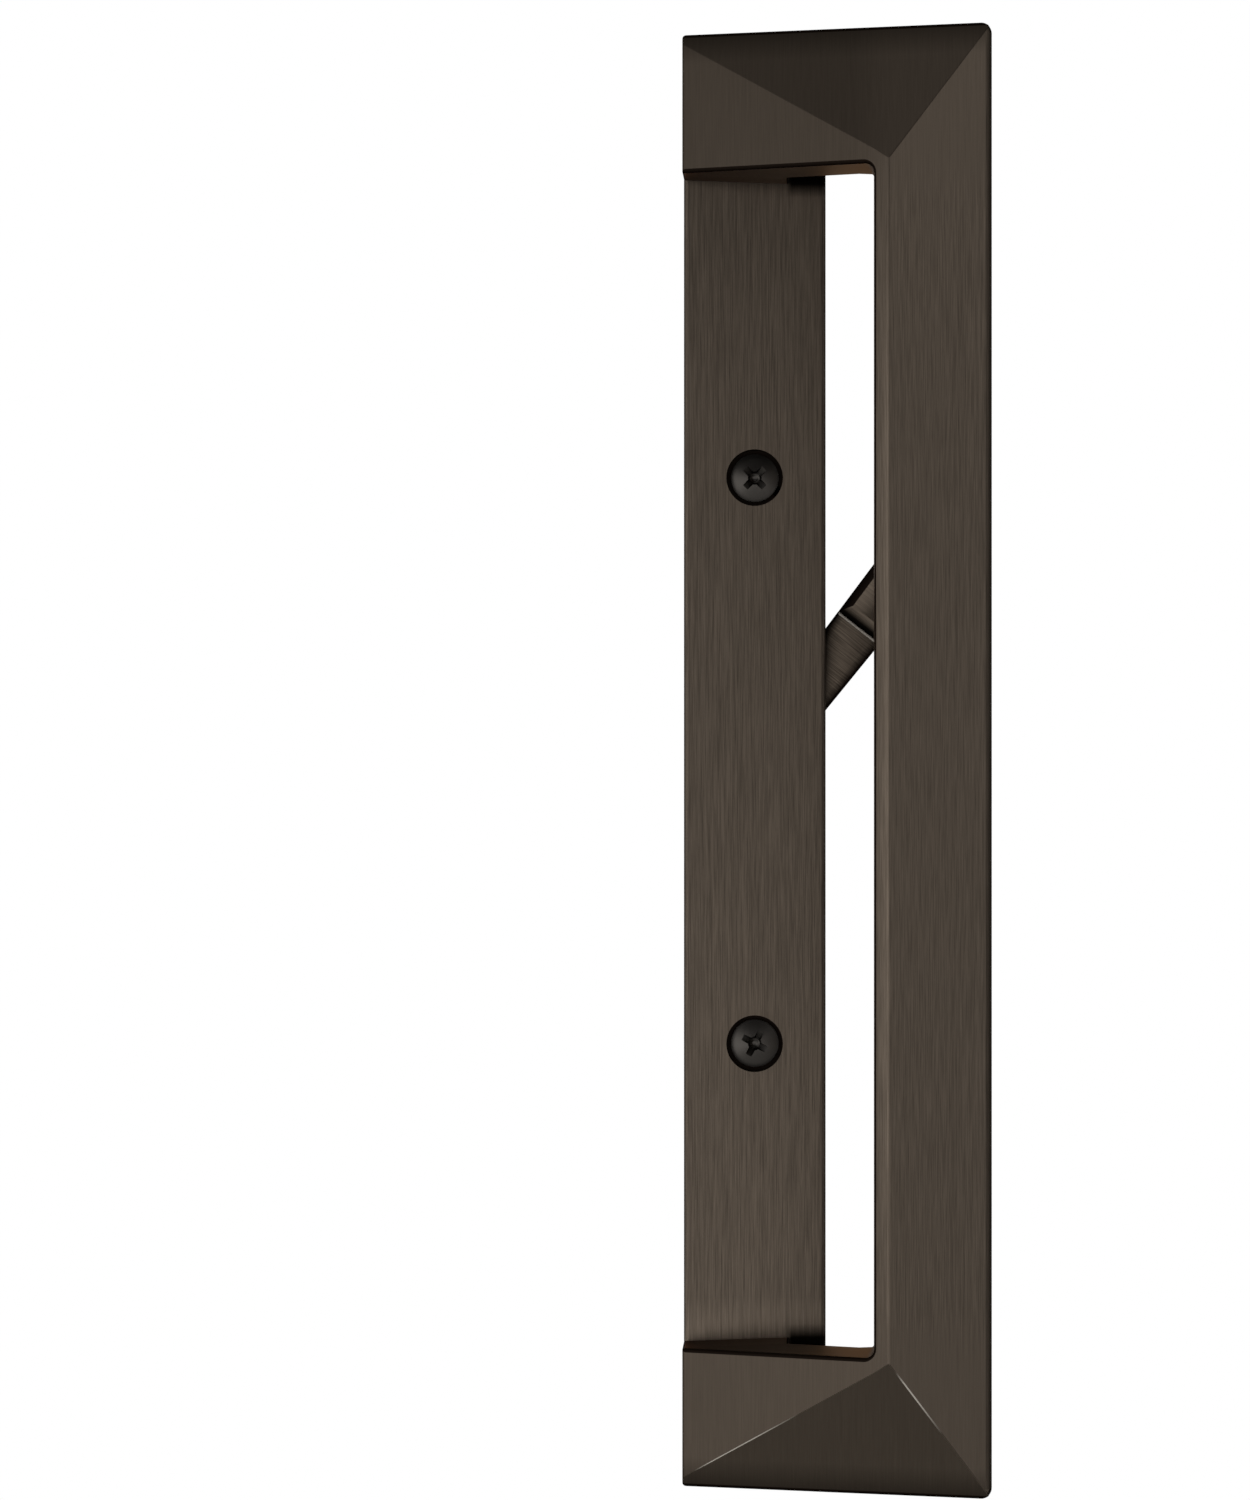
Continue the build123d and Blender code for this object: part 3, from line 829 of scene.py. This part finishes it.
def dress_roundings(mesh, sizes):
    """Give each rounded edge its finish: painted glint, brushed, or the sides' painted shade. The other rims
    keep the patina material's painted shade.
    """
    apex_z = PLATE_HIGH.z - sizes.hip_depth
    # How far a face may lean along Z on an upright rounding and on a hip
    upright_lean, hip_lean = 0.03, 0.46
    for polygon in mesh.polygons:
        middle, normal = polygon.center, polygon.normal
        if polygon.material_index != PULL_PATINA_AND_SHADE:
            continue
        end = 1 if middle.z > 0 else -1
        in_end = end * middle.z > apex_z - TINY
        on_hip = in_end and upright_lean < end * normal.z < hip_lean and normal.y < -0.5
        upright = abs(normal.z) < upright_lean
        if on_hip:
            # Painted glints lie on the lower hips only, and the upper hips stay brushed
            polygon.material_index = PULL_PAINTED_GLINT if end < 0 else PULL_BRUSHED
        elif upright and abs(middle.x - ridge_x(sizes)) < sizes.ridge_radius and normal.y < -0.7:
            polygon.material_index = PULL_BRUSHED
        elif upright and middle.x > PULL_HIGH.x - sizes.outer_radius:
            polygon.material_index = PULL_SIDES_PAINTED_SHADE
        elif upright and middle.x < PLATE_LOW.x + sizes.left_radius:
            polygon.material_index = PULL_BRUSHED


class HANDLE_OT_pull(bpy.types.Operator):
    """Model the faceted pull: two arms and a grip under one hipped roof"""

    bl_idname = "handle.pull"
    bl_label = "Faceted Pull"

    def execute(self, context):
        sizes = context.scene.pull_sizes
        bm = half_pull(sizes)
        bmesh.ops.mirror(bm, geom=everything(bm), matrix=Matrix.Identity(4), merge_dist=MERGE, axis="Z")
        close_seams(bm)
        bmesh.ops.dissolve_limit(bm, angle_limit=radians(0.5), verts=bm.verts, edges=bm.edges)
        widest = weigh_pull_edges(bm, sizes)
        for face in bm.faces:
            side = pull_side(face, sizes)
            if side in ("window", "underside", "foot", "seat"):
                face.material_index = PULL_CAST
            # The left, outer and end faces take a darker copy of the bronze: painted shade
            elif side in ("left", "outer", "end"):
                face.material_index = PULL_SIDES_PAINTED_SHADE
        bronze = context.scene.handle_finish.bronze
        # Painted shade towards both ends and on the upper arm, and a painted highlight on the strip
        layers = ((end_painted_shade, 0.42), (upper_arm_painted_shade, 0.83), (strip_painted_highlight, 1.6))
        # The sides' colour is a darker copy of the bronze: painted shade
        sides = [0.6 * c for c in bronze]
        materials = [
            brushed_bronze("bronze_plated_zinc_brushed_pull", bronze, even=end_polish, layers=layers),
            cast_bronze(),
            brushed_bronze("bronze_plated_zinc_brushed_pull_sides_painted_shade", sides, on_sides=True),
            painted_glint_bronze(),
            patina_and_painted_shade(),
        ]
        piece = finish_piece("pull", bm, materials, "plate", ["pull_grip"])
        rounding = piece.modifiers.new("rounded_edges", "BEVEL")
        rounding.limit_method = "WEIGHT"
        rounding.width = widest
        rounding.segments = 8
        rounding.profile = 0.5
        rounding.use_clamp_overlap = False
        rounding.harden_normals = True
        # Every rounding starts with the patina material, which paints shade on the rims
        rounding.material = PULL_PATINA_AND_SHADE
        bake_modifiers(piece)
        dress_roundings(piece.data, sizes)
        return {"FINISHED"}


def softened_copy(node, edge_break, sharp_angle):
    """A merged copy of a CAD node whose sharp outer edges are broken."""
    bm = bmesh.new()
    bm.from_mesh(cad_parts[node].data)
    bmesh.ops.remove_doubles(bm, verts=bm.verts, dist=MERGE)
    bmesh.ops.dissolve_limit(bm, angle_limit=radians(0.3), verts=bm.verts, edges=bm.edges)
    sharp = [
        edge for edge in bm.edges
        if len(edge.link_faces) == 2 and edge.is_convex and edge.calc_face_angle() > sharp_angle
    ]
    round_edges(bm, sharp, edge_break, 2, clamp_overlap=True)
    return bm


class HANDLE_OT_plate(bpy.types.Operator):
    """Soften the plate's edges, brush its outside, paint a shadow under the arms and light above the lower
    foot, and leave the patina in its recesses with painted shade in the counterbores
    """

    bl_idname = "handle.plate"
    bl_label = "Escutcheon Plate"

    def execute(self, context):
        finish = context.scene.handle_finish
        bm = softened_copy("escutcheon", edge_break=0.2 * MM, sharp_angle=radians(50))
        skin = 0.5 * MM
        for face in bm.faces:
            middle = face.calc_center_median()
            inside_x = abs(middle.x) < PLATE_HIGH.x - skin
            inside_z = abs(middle.z) < PLATE_HIGH.z - skin
            # The recesses take the patina material: patina in the hollows, and painted shade in the
            # counterbores
            if inside_x and inside_z and middle.y > PLATE_LOW.y + skin:
                face.material_index = PLATE_PATINA_AND_SHADE
            elif middle.y > PLATE_LOW.y + 2 * skin:
                face.material_index = PLATE_SIDES
        # A painted shadow under the arms, and painted light above the lower foot
        layers = ((under_arm_painted_shadow, 0.04), (foot_painted_light, 1.6))
        materials = [
            brushed_bronze("bronze_plated_zinc_brushed_plate", finish.bronze, contrast=0.34, layers=layers),
            patina_and_painted_shade(),
            brushed_bronze("bronze_plated_zinc_brushed_plate_sides", finish.bronze, on_sides=True),
        ]
        piece = finish_piece("plate", bm, materials, "plate", ["escutcheon"])
        keep_flats_flat(piece, radians(35))
        return {"FINISHED"}


def lever_widening(sizes):
    """How much wider the lever gets for each length along it."""
    return (sizes.tip_width - sizes.root_width) / sizes.reach


def lever_block(sizes):
    """The lever's arm along +X: a plain block, a groove and a thumb pad with sloping sides."""
    front, back = LEVER_LOW.y, LEVER_LOW.y + sizes.thickness
    start = (sizes.hub_radius + sizes.recess_radius) / 2
    bm = bmesh.new()
    bmesh.ops.create_cube(bm, size=1.0)
    for vert in bm.verts:
        along = sizes.reach if vert.co.x > 0 else start
        half_width = (sizes.root_width + lever_widening(sizes) * along) / 2
        vert.co = (
            along,
            back if vert.co.y > 0 else front + sizes.groove,
            half_width if vert.co.z > 0 else -half_width,
        )
    bmesh.ops.bisect_plane(bm, geom=everything(bm), plane_co=(sizes.step, 0.0, 0.0), plane_no=(1.0, 0.0, 0.0))
    fronts = [face for face in bm.faces if face.normal.y < -0.9]
    block, pad = sorted(fronts, key=lambda face: face.calc_center_median().x)
    raised = draw_out(bm, [block])[0]
    bmesh.ops.translate(bm, vec=(0.0, -sizes.groove, 0.0), verts=raised)
    bmesh.ops.inset_individual(
        bm, faces=[pad], thickness=sizes.pad_bevel, depth=sizes.groove - sizes.pad_drop, use_even_offset=True
    )
    ramp_top = [vert for vert in pad.verts if vert.co.x < pad.calc_center_median().x]
    bmesh.ops.translate(bm, vec=(sizes.pad_ramp - sizes.pad_bevel, 0.0, 0.0), verts=ramp_top)
    bmesh.ops.recalc_face_normals(bm, faces=bm.faces)
    # Faces that don't look forward take the patina material: painted shade on the lever's sides
    for face in bm.faces:
        on_ramp = face.normal.x < -0.3 and face.normal.y < -0.3
        if on_ramp:
            face.material_index = LEVER_RAMP
        elif face.normal.y > -0.99:
            face.material_index = LEVER_PATINA_AND_SHADE
    # The thumb pad takes a lighter copy of the bronze: painted light
    pad.material_index = LEVER_PAD_PAINTED_LIGHT

    block_rim = [edge for edge in bm.edges if all(vert.co.y < front + TINY for vert in edge.verts)]
    softened = [edge for edge in block_rim if any(vert.co.x > sizes.step - TINY for vert in edge.verts)]
    rounded = round_edges(bm, softened, sizes.edge_round, 3)
    bm.normal_update()
    # The step's rounding gets a painted glint line, and the other roundings get the patina material's painted
    # shade
    for face in rounded["faces"]:
        at_step = face.normal.x > abs(face.normal.z)
        face.material_index = LEVER_PAINTED_GLINT if at_step else LEVER_PATINA_AND_SHADE
    return bm


def lever_hub(bm, sizes):
    """Add the hub, its recess for the pivot post and the journal, turned about Y."""
    front, back = LEVER_LOW.y, LEVER_LOW.y + sizes.thickness
    profile = [
        (0.0, front + sizes.recess_depth),
        (sizes.recess_radius, front + sizes.recess_depth),
        (sizes.recess_radius, front),
        (sizes.hub_radius, front),
        (sizes.hub_radius, back),
        (sizes.journal_radius, back),
        (sizes.journal_radius, LEVER_HIGH.y),
        (0.0, LEVER_HIGH.y),
    ]
    add_turned(bm, profile, 64)


def add_turned(bm, profile, steps):
    """Turn a profile of (radius, y) points about Y into a closed shape of its own."""
    before = set(bm.verts)
    points = [bm.verts.new((radius, y, 0.0)) for radius, y in profile]
    edges = [bm.edges.new(pair) for pair in zip(points, points[1:])]
    spin_about_y(bm, [*points, *edges], 2 * pi, steps, use_merge=True)
    bmesh.ops.remove_doubles(bm, verts=added_verts(bm, before), dist=MERGE)
    face_outwards(bm, added_verts(bm, before))


class HANDLE_OT_lever(bpy.types.Operator):
    """Model the thumb lever with its hub and its thumb pad"""

    bl_idname = "handle.lever"
    bl_label = "Thumb Lever"

    def execute(self, context):
        sizes, finish = context.scene.lever_sizes, context.scene.handle_finish
        bm = lever_block(sizes)
        lever_hub(bm, sizes)
        turn_about_y(bm, -sizes.rest_angle)
        # The block's bronze is a lighter copy, painted light for the lever's shaded place
        painted_light_colour = [1.75 * c for c in finish.bronze]
        # The thumb pad's bronze is a lighter copy too: painted light
        pad_painted_light = [1.55 * c for c in finish.bronze]
        # Painted shade in the lever's corners and along its long sides
        shade = ((corner_painted_shade, 0.25), (side_painted_shade, 0.25))
        materials = [
            brushed_bronze("bronze_plated_zinc_brushed_across", painted_light_colour, sizes.rest_angle, 0.6, layers=shade),
            patina_and_painted_shade(),
            brushed_bronze("bronze_plated_zinc_thumb_pad_painted_light", pad_painted_light, sizes.rest_angle),
            # A painted glint line along the step's edge
            plain_metal("bronze_plated_zinc_painted_glint_line", finish.painted_glint, 0.55),
            # The ramp carries a painted shadow from the groove towards the thumb pad
            brushed_bronze(
                "bronze_plated_zinc_brushed_ramp", painted_light_colour, sizes.rest_angle, layers=((ramp_painted_shadow, 0.05),)
            ),
        ]
        piece = finish_piece("lever", bm, materials, "lever", ["thumb_lever"])
        softening = piece.modifiers.new("soft_edges", "BEVEL")
        softening.limit_method = "ANGLE"
        softening.angle_limit = radians(40)
        softening.width = sizes.edge_break
        softening.segments = 3
        softening.profile = 0.5
        softening.harden_normals = True
        return {"FINISHED"}


def add_thread(bm, core, crest, start, end, pitch):
    """Wind a thread round a core along Y, running out to nothing at both ends."""
    steps_per_turn = 24
    # How deep the thread is sunk, and half its width at the foot and at the crest, in pitches
    sink, foot, flat = 0.1, 0.45, 0.07
    before = set(bm.verts)
    sunk = core - sink * pitch
    section = [(sunk, -foot), (crest, -flat), (crest, flat), (sunk, foot)]
    corners = [bm.verts.new((radius, start + share * pitch, 0.0)) for radius, share in section]
    face = bm.faces.new(corners)
    steps = int((end - start) / pitch * steps_per_turn)
    rise = (0.0, pitch / steps_per_turn, 0.0)
    spin_about_y(bm, [face], 2 * pi * steps / steps_per_turn, steps, dvec=rise)
    made = added_verts(bm, before)
    for vert in made:
        radius = Vector((vert.co.x, vert.co.z)).length
        run = min(vert.co.y - start, start + steps * pitch / steps_per_turn - vert.co.y) / pitch
        kept = min(1.0, max(0.0, run))
        target = sunk + (radius - sunk) * kept
        vert.co.x *= target / radius
        vert.co.z *= target / radius
    face_outwards(bm, made)


def cross_cutter(head_radius, head_height, turn):
    """The shapes that cut a cross recess: two tapered blades and the point between them."""
    # Shares of the head's radius and height, at the top of the blades and at their bottom
    top_reach, bottom_reach = 0.86, 0.1
    top_half_width, bottom_half_width = 0.18, 0.06
    top_y, bottom_y = -1.2, -0.2
    shapes = []
    for blade_turn in (turn, turn + pi / 2):
        blade = bmesh.new()
        bmesh.ops.create_cube(blade, size=1.0)
        for vert in blade.verts:
            deep = vert.co.y > 0
            reach = head_radius * (bottom_reach if deep else top_reach)
            half_width = head_radius * (bottom_half_width if deep else top_half_width)
            vert.co = (
                reach if vert.co.x > 0 else -reach,
                head_height * (bottom_y if deep else top_y),
                half_width if vert.co.z > 0 else -half_width,
            )
        turn_about_y(blade, blade_turn)
        bmesh.ops.recalc_face_normals(blade, faces=blade.faces)
        shapes.append(blade)
    point = bmesh.new()
    add_turned(point, [
        (0.0, -1.4 * head_height),
        (0.36 * head_radius, -1.4 * head_height),
        (0.2 * head_radius, -0.3 * head_height),
        (0.0, -0.15 * head_height),
    ], 24)
    shapes.append(point)
    return shapes


def domed_head(radius, height):
    """The outline of a pan head from its crown to its seat, as (radius, y) points.

    The crown is round, and the slope hardly grows towards the rim.
    """
    rim_slope, roundness, steps = radians(17), 1.3, 10
    drop = radius * tan(rim_slope) / roundness
    shares = [step / steps for step in range(steps + 1)]
    outline = [(radius * share, drop * share**roundness - height) for share in shares]
    outline.append((radius, 0.0))
    return outline


class HANDLE_OT_mounting_screws(bpy.types.Operator):
    """Model both mounting screws: domed heads with a cross recess, plain shanks and long threads"""

    bl_idname = "handle.mounting_screws"
    bl_label = "Mounting Screws"

    def execute(self, context):
        sizes = context.scene.screw_sizes
        steel = black_oxide_steel()
        head_radius = (SCREW_HIGH.x - SCREW_LOW.x) / 2
        seat = SCREW_LOW.y + sizes.head_height
        tip = SCREW_HIGH.y - seat
        thread_end = tip - sizes.thread_pitch
        thread_depth = 0.6 * sizes.thread_pitch
        core = sizes.thread_radius - thread_depth
        for side, end, turn in (("upper", 1, sizes.upper_turn), ("lower", -1, sizes.lower_turn)):
            shaft = [
                (sizes.plain_radius, 0.0),
                (sizes.plain_radius, -seat),
                (core, -seat + sizes.thread_pitch),
                (core, thread_end),
                (core / 2, tip),
                (0.0, tip),
            ]
            bm = bmesh.new()
            add_turned(bm, domed_head(head_radius, sizes.head_height) + shaft, 64)
            for shape in cross_cutter(head_radius, sizes.head_height, turn):
                cut_away(bm, shape)
            add_thread(bm, core, sizes.thread_radius, -seat, thread_end, sizes.thread_pitch)
            bmesh.ops.translate(bm, vec=(0.0, seat, end * sizes.spacing / 2), verts=bm.verts)
            node = f"mounting_screw_{side}"
            piece = finish_piece(f"long_screw_{side}", bm, [steel], "plate", [node])
            keep_flats_flat(piece, radians(40))
        return {"FINISHED"}


class HANDLE_OT_hidden_pieces(bpy.types.Operator):
    """Dress the latch parts and short screws behind the plate"""

    bl_idname = "handle.hidden_pieces"
    bl_label = "Latch Parts and Short Screws"

    def execute(self, context):
        finish = context.scene.handle_finish
        zinc = plain_metal("steel_zinc_plated", finish.zinc, 0.35)
        rolled = plain_metal("steel_rolled_bare", finish.steel, 0.42)
        spring = plain_metal("steel_spring_tempered", finish.spring, 0.3)
        dress = {
            "tailpiece": (rolled, "plain_steel"),
            "lever_retainer": (rolled, "plain_steel"),
            "disc_spring": (spring, "spring_steel"),
            "thrust_washer": (moulded_nylon(), "white_nylon"),
        }
        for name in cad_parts:
            if name.startswith(("grip_screw", "retainer_screw")):
                dress[name] = (zinc, "zinc_screw")
        for name, (material, slot) in dress.items():
            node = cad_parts[name]
            node.data.materials.clear()
            node.data.materials.append(material)
        return {"FINISHED"}


def set_up(item, front, middle, aim):
    """Put a card or a lamp into the scene, so that its front faces a point."""
    item.location = middle
    item.rotation_euler = (Vector(aim) - Vector(middle)).to_track_quat(front, "Y").to_euler()
    bpy.context.scene.collection.objects.link(item)


def add_stage_card(name, material, half_width, half_height, middle, aim):
    """A flat card that faces a point."""
    mesh = bpy.data.meshes.new(name)
    bm = bmesh.new()
    bmesh.ops.create_grid(bm, x_segments=1, y_segments=1, size=1.0)
    bmesh.ops.scale(bm, vec=(half_width, half_height, 1.0), verts=bm.verts)
    bm.to_mesh(mesh)
    bm.free()
    mesh.materials.append(material)
    card = bpy.data.objects.new(name, mesh)
    set_up(card, "Z", middle, aim)
    return card


def add_softbox(name, power, width, height, middle, aim=(0.0, 0.0, 0.0)):
    """An area lamp that faces the handle, or another point."""
    data = bpy.data.lights.new(name, "AREA")
    data.shape = "RECTANGLE"
    data.size = width
    data.size_y = height
    data.energy = power
    lamp = bpy.data.objects.new(name, data)
    lamp.visible_camera = False
    set_up(lamp, "-Z", middle, aim)


class HANDLE_OT_stage(bpy.types.Operator):
    """Set the floor, the light and the camera"""

    bl_idname = "handle.stage"
    bl_label = "Stage"

    def execute(self, context):
        scene = context.scene
        stage = scene.handle_stage
        scene.view_settings.view_transform = "Standard"

        paper = new_material("paper_matt_white", {
            "Base Color": shaded(stage.floor_colour),
            "Roughness": 0.9,
        })[0]
        under = (0.0, 0.0, -stage.floor_drop)
        add_stage_card("floor", paper, stage.floor_size, stage.floor_size, under, (0.0, 0.0, 0.0))
        felt = new_material("felt_black", {"Base Color": shaded(linear("#1A1A1A")), "Roughness": 1.0})[0]
        for name, half_width, half_height, middle, aim in (
            ("right_flag", 0.17, 0.28, (0.2, 0.15, 0.0), (0.0, 0.15, 0.0)),
            ("left_flag", 0.17, 0.28, (-0.2, 0.2, 0.0), (0.0, 0.2, 0.0)),
            ("front_flag", 0.5, 0.2, (0.0, -0.6, 0.37), (0.0, 0.0, 0.0)),
        ):
            flag = add_stage_card(name, felt, half_width, half_height, middle, aim)
            flag.visible_camera = False

        add_softbox("left_softbox", stage.left_light, 0.3, 0.7, (-0.6, -0.7, -0.14))
        add_softbox("right_softbox", stage.right_light, 0.3, 0.2, (0.75, -0.65, 0.3))
        add_softbox("low_softbox", stage.low_light, 1.2, 0.2, (0.0, -0.9, -0.2))
        add_softbox("floor_lamp", stage.floor_light, 0.7, 0.6, (0.0, -0.1, -0.2), (0.0, -0.1, -1.0))

        world = bpy.data.worlds.new("soft_studio")
        world.use_nodes = True
        scene.world = world
        tree = world.node_tree
        tree.nodes.clear()
        direction = add_node(tree, "TexCoord").outputs["Generated"]
        up = add_node(tree, "SeparateXYZ", links={"Vector": direction}).outputs["Z"]
        share = add_node(
            tree, "MapRange", values={"From Min": -1.0, "From Max": 1.0}, links={"Value": up}
        )
        sky = add_node(tree, "ValToRGB", links={"Fac": share.outputs["Result"]})
        # From straight below to straight above
        levels = ((0.0, 0.6), (0.4, 1.0), (0.58, 1.0), (0.7, 0.8), (0.85, 0.6), (1.0, 0.4))
        set_ramp(sky.color_ramp, [(height, (level, level, level, 1.0)) for height, level in levels])
        light = add_node(tree, "Background", links={"Color": sky.outputs["Color"]})
        add_node(tree, "OutputWorld", links={"Surface": light.outputs["Background"]})

        camera_data = bpy.data.cameras.new("photo_camera")
        camera_data.lens = stage.lens
        camera_data.sensor_width = 36.0
        camera_data.shift_x = (PHOTO_WIDTH / 2 - FACED_X) / PHOTO_HEIGHT
        camera_data.shift_y = (FACED_Y - PHOTO_HEIGHT / 2) / PHOTO_HEIGHT
        camera_data.clip_start = 0.05
        camera = bpy.data.objects.new("photo_camera", camera_data)
        camera.location = (stage.camera_side, PLATE_LOW.y - stage.camera_distance, 0.0)
        camera.rotation_euler = (pi / 2, 0.0, 0.0)
        scene.collection.objects.link(camera)
        scene.camera = camera
        return {"FINISHED"}


class HANDLE_PT_sidebar(bpy.types.Panel):
    """The handle's pieces, sizes, finishes and light"""

    bl_label = "Door Handle"
    bl_idname = "HANDLE_PT_sidebar"
    bl_space_type = "VIEW_3D"
    bl_region_type = "UI"
    bl_category = "Door Handle"

    def draw(self, context):
        layout = self.layout
        for operator in OPERATORS:
            layout.operator(operator.bl_idname)
        for name, group in SETTINGS.items():
            box = layout.box()
            box.label(text=group.__doc__)
            for setting in group.__annotations__:
                box.prop(getattr(context.scene, name), setting)


SETTINGS = {
    "pull_sizes": PullSizes,
    "lever_sizes": LeverSizes,
    "screw_sizes": ScrewSizes,
    "handle_finish": HandleFinish,
    "handle_stage": HandleStage,
}
OPERATORS = (
    HANDLE_OT_pull,
    HANDLE_OT_plate,
    HANDLE_OT_lever,
    HANDLE_OT_mounting_screws,
    HANDLE_OT_hidden_pieces,
    HANDLE_OT_stage,
)
CLASSES = (*SETTINGS.values(), *OPERATORS, HANDLE_PT_sidebar)


def register():
    for cls in CLASSES:
        bpy.utils.register_class(cls)
    for name, group in SETTINGS.items():
        setattr(bpy.types.Scene, name, bpy.props.PointerProperty(type=group))


def unregister():
    for name in SETTINGS:
        delattr(bpy.types.Scene, name)
    for cls in reversed(CLASSES):
        bpy.utils.unregister_class(cls)


def main():
    register()
    bpy.ops.handle.pull()
    bpy.ops.handle.plate()
    bpy.ops.handle.lever()
    bpy.ops.handle.mounting_screws()
    bpy.ops.handle.hidden_pieces()
    bpy.ops.handle.stage()


if __name__ == "__main__":
    main()
